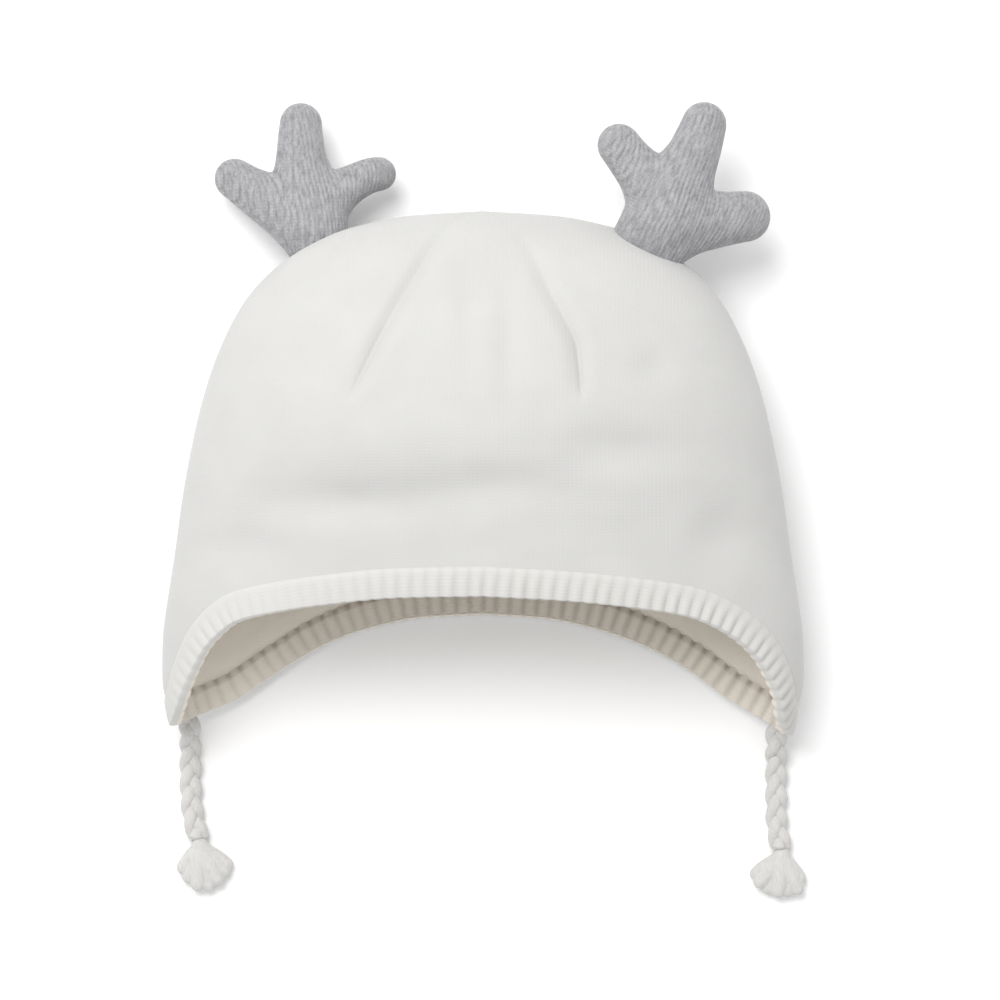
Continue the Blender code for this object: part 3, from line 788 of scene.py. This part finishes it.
def knit_look(name, colour, painted_bounce, dark):
    """Fine jersey: rows of V stitches and broad unevenness as relief, mottled between colour and dark.

    The inside has its own paler, warmer colour: painted bounce light standing in for the warm light bounced
    about inside the hat.
    """
    look = Look(name, colour, 0.95, Sheen_Weight=0.15, Sheen_Roughness=0.5)
    u, v, _ = look.parts(look.node("UVMap", "UV", {"uv_map": "knit"}))
    wale = (u / 1.25).wrap() - 0.5
    course = (v / 0.95 + abs(wale) * 0.9).wrap() - 0.5
    stitch = 1 - (abs(wale) * 2.0) ** 3.0
    stitch = stitch * (1 - (abs(course) * 2.0) ** 2.5 * 0.8)
    place = look.node("TexCoord", "Object")
    fuzz = look.noise(place, 2600.0)
    soft = look.noise(place, 60.0)
    uneven = look.noise(look.stretched(place, (42.0, 58.0, 42.0)), 1.0, 1.0)
    inside = look.node("Attribute", "Fac", {"attribute_name": "inside"})
    tone = look.mix((soft - 0.35) * 1.6, dark, colour)
    # Painted bounce light: the inside takes the paler, warmer inside colour
    look.colour(look.mix(inside, tone, painted_bounce))
    look.relief(stitch * 0.045 + fuzz * 0.04 + uneven, 0.0009)
    return look


def rib_look(name, colour, painted_bounce, groove_shade):
    """Ribbing with painted shade: darker between the ribs, most so inside along the seam and least on the
    left. The inside is a paler, warmer copy of the colour, painted bounce light.
    """
    look = Look(name, colour, 0.95, Sheen_Weight=0.15, Sheen_Roughness=0.5)
    u, v, _ = look.parts(look.node("UVMap", "UV", {"uv_map": "knit"}))
    rib = ((u * 2 * math.pi).cos() * 0.5 + 0.5) ** 2.0
    inside = look.node("Attribute", "Fac", {"attribute_name": "inside"})
    place = look.node("TexCoord", "Object")
    fuzz = look.noise(place, 2400.0)
    # Painted shade: the inside is darker along the seam, in the grooves between ribs
    seam = ((0.22 - v) * 6.0).clip() * inside
    # Painted bounce light: the band's inside takes the paler, warmer inside colour
    pale = look.mix(inside, colour, painted_bounce)
    across, _, _ = look.parts(place)
    # Share of painted groove shade: none outside left of x = -64 mm, rising to its most from x = 7 mm, and
    # more inside
    groove_shade_share = (across * 14.0 + 0.9).clip() * 0.22 + inside * 0.22
    # Painted shade: the valleys between the ribs are mixed towards the dark groove colour
    look.colour(look.mix((rib * groove_shade_share + rib * seam * 0.5).clip(), pale, groove_shade))
    stitch = (v * 9.0 + (u * 4 * math.pi).cos() * 0.12).wrap() - 0.5
    look.relief(fuzz * 0.6 + (1 - abs(stitch) * 2.0) * 0.35, 0.00012)
    return look


def heather_look(name, wale_angle, pale, dark):
    """Grey heather knit, flecked light and dark, with painted shade darkening the grooves between stitches in
    patches and the foot where the antler meets the crown.

    The wales run along wale_angle from the X axis.
    """
    look = Look(name, pale, 0.95, Sheen_Weight=0.35, Sheen_Roughness=0.4)
    place = look.node("TexCoord", "Object")
    turned = look.node("VectorRotate", "Vector", {"rotation_type": "Z_AXIS"}, Vector=place, Angle=-wale_angle)
    along, across, high = look.parts(turned)
    wale = (across * 1000 / 1.5 + high * 1000 / 2.4).wrap() - 0.5
    course = (along * 1000 / 1.0 + abs(wale) * 0.9).wrap() - 0.5
    ridge = 1 - (abs(wale) * 2.0) ** 2.0
    stitch = ridge * (1 - (abs(course) * 2.0) ** 2.0 * 0.7)
    patch = look.noise(place, 130.0)
    fleck = look.noise(look.stretched(turned, (260.0, 900.0, 700.0)), 1.0, 4.0)
    fine = look.noise(look.stretched(turned, (900.0, 2600.0, 2000.0)), 1.0, 2.0)
    # Painted shade: the grooves between the stitches are darker, in patches
    stitch_shade = (ridge * 0.6 + stitch * 0.4 - 0.55) * ((patch - 0.3) * 1.8).clip()
    _, up, _ = look.parts(place)
    # Painted shade: darker towards the foot, where the antler meets the crown, below y = 58 mm
    foot = ((0.058 - up) * 55.0).clip() * 0.45
    tone = ((fleck - 0.5) * 1.8 + (fine - 0.5) * 1.2 + stitch_shade + 0.54 - foot).clip()
    look.colour(look.mix(tone, dark, pale))
    look.relief(stitch * 0.8 + fine * 0.4, 0.00022)
    return look


def yarn_look(name, colour, dark):
    """Soft plied yarn: fine fibres along the object's length and a little mottling."""
    look = Look(name, colour, 0.95, Sheen_Weight=0.2, Sheen_Roughness=0.5)
    place = look.node("TexCoord", "Object")
    fibre = look.noise(look.stretched(place, (2200.0, 500.0, 2200.0)), 1.0, 3.0)
    look.colour(look.mix((fibre - 0.3) * 1.8, dark, colour))
    look.relief(fibre, 0.00025)
    return look


def light(name, place, target, size, power):
    """A round area light that faces its target."""
    data = bpy.data.lights.new(name, "AREA")
    data.shape = "DISK"
    data.size = size
    data.energy = power
    obj = bpy.data.objects.new(name, data)
    obj.location = place
    way = np.array(target) - place
    obj.rotation_euler = (math.atan2(math.hypot(way[0], way[1]), -way[2]), 0, math.atan2(-way[0], way[1]))
    bpy.context.scene.collection.objects.link(obj)
    return obj


# Colours of the yarns, as the light in this scene needs them
KNIT_WHITE = (0.55, 0.546, 0.533)
KNIT_DIM = (0.52, 0.516, 0.504)
# Painted bounce light: the knit's inside, a paler and warmer copy of its colour
KNIT_INSIDE_PAINTED_BOUNCE = (0.76, 0.71, 0.635)
RIB_WHITE = (0.56, 0.555, 0.537)
# Painted bounce light: the band's inside, a paler and warmer copy of its colour
RIB_INSIDE_PAINTED_BOUNCE = (0.72, 0.672, 0.60)
# Painted shade between the ribs
RIB_GROOVE_SHADE = (0.40, 0.365, 0.32)
YARN_WHITE = (0.64, 0.63, 0.615)
YARN_DIM = (0.53, 0.52, 0.505)
HEATHER_PALE = (0.385, 0.385, 0.397)
HEATHER_DARK = (0.20, 0.20, 0.21)
FLOOR_WHITE = (0.95, 0.95, 0.95)

# Camera straight above the hat, its frame's top towards +Y
CAMERA_PLACE = (0.0051, -0.0244, 1.4)
CAMERA_LENS = 166.06
camera = bpy.data.objects.new("camera", bpy.data.cameras.new("camera"))
camera.location = CAMERA_PLACE
camera.data.sensor_width = 36
camera.data.lens = CAMERA_LENS
camera.data.clip_end = 20
bpy.context.scene.collection.objects.link(camera)
bpy.context.scene.camera = camera
bpy.context.scene.view_settings.view_transform = "Standard"

# Cords first: ties and their tassels
yarn = yarn_look("off-white yarn", YARN_WHITE, YARN_DIM)
rim_line, rim_out, rim_down, band_width = band_frame()
free_edge = rim_line + rim_down * band_width[:, None]
for side, name, locks in ((-1, "left", LEFT_LOCKS), (1, "right", RIGHT_LOCKS)):
    x = side * TIE_APART / 2
    apart = np.hypot(free_edge[:, 0] - x, free_edge[:, 2] - TIE_WAY[0][3] * TIE_DIAMETER)
    near = apart < apart.min() + TIE_DIAMETER / 2
    route = tie_route(side, (x, free_edge[near, 1].min() + TIE_TUCK), TIE_POINTS)
    lowest = apart.argmin()
    sewn = free_edge[lowest] - SEWN_DEPTH * rim_down[lowest] - BAND_THICKNESS / 3 * rim_out[lowest]
    tie = make_tie("plaited_tie_" + name, route, sewn, yarn)
    tassel = make_tassel("yarn_tassel_" + name, locks, route[-1], unit(route[-1] - route[-2]), yarn)
    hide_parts("tie_" + name)
    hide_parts("tassel_" + name)
    for piece in (tie, tassel):
        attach(piece, "root")

# The hat
crown = make_crown(knit_look("off-white knit", KNIT_WHITE, KNIT_INSIDE_PAINTED_BOUNCE, KNIT_DIM))
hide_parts("crown")
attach(crown, "root")

band = make_band(rib_look("off-white rib", RIB_WHITE, RIB_INSIDE_PAINTED_BOUNCE, RIB_GROOVE_SHADE))
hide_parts("rib_band")
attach(band, "root")

for name, tines, angle in (("left", LEFT_TINES, 92), ("right", RIGHT_TINES, 62)):
    look = heather_look("heather grey knit " + name, math.radians(angle), HEATHER_PALE, HEATHER_DARK)
    antler = make_antler("stuffed_antler_" + name, tines, look)
    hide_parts("antler_" + name)
    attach(antler, "root")

# Floor and light
FLOOR_HALF = 3.0
ROOM_LIGHT = 0.82
floor_look = Look("pale floor", FLOOR_WHITE, 0.9, Specular_IOR_Level=0.1)
corners = FLOOR_HALF * np.array([(-1, -1, 0), (1, -1, 0), (1, 1, 0), (-1, 1, 0)])
floor = build("pale_floor", corners, [np.array([[0, 1, 2, 3]])], None, None, floor_look)
floor.location.z = -0.0001

light("large soft light", (-0.30, 0.52, 1.24), (0, 0, 0), 0.78, 13.4)
world = bpy.data.worlds.new("room light")
world.use_nodes = True
world.node_tree.nodes["Background"].inputs["Color"].default_value = (1, 1, 1, 1)
world.node_tree.nodes["Background"].inputs["Strength"].default_value = ROOM_LIGHT
bpy.context.scene.world = world
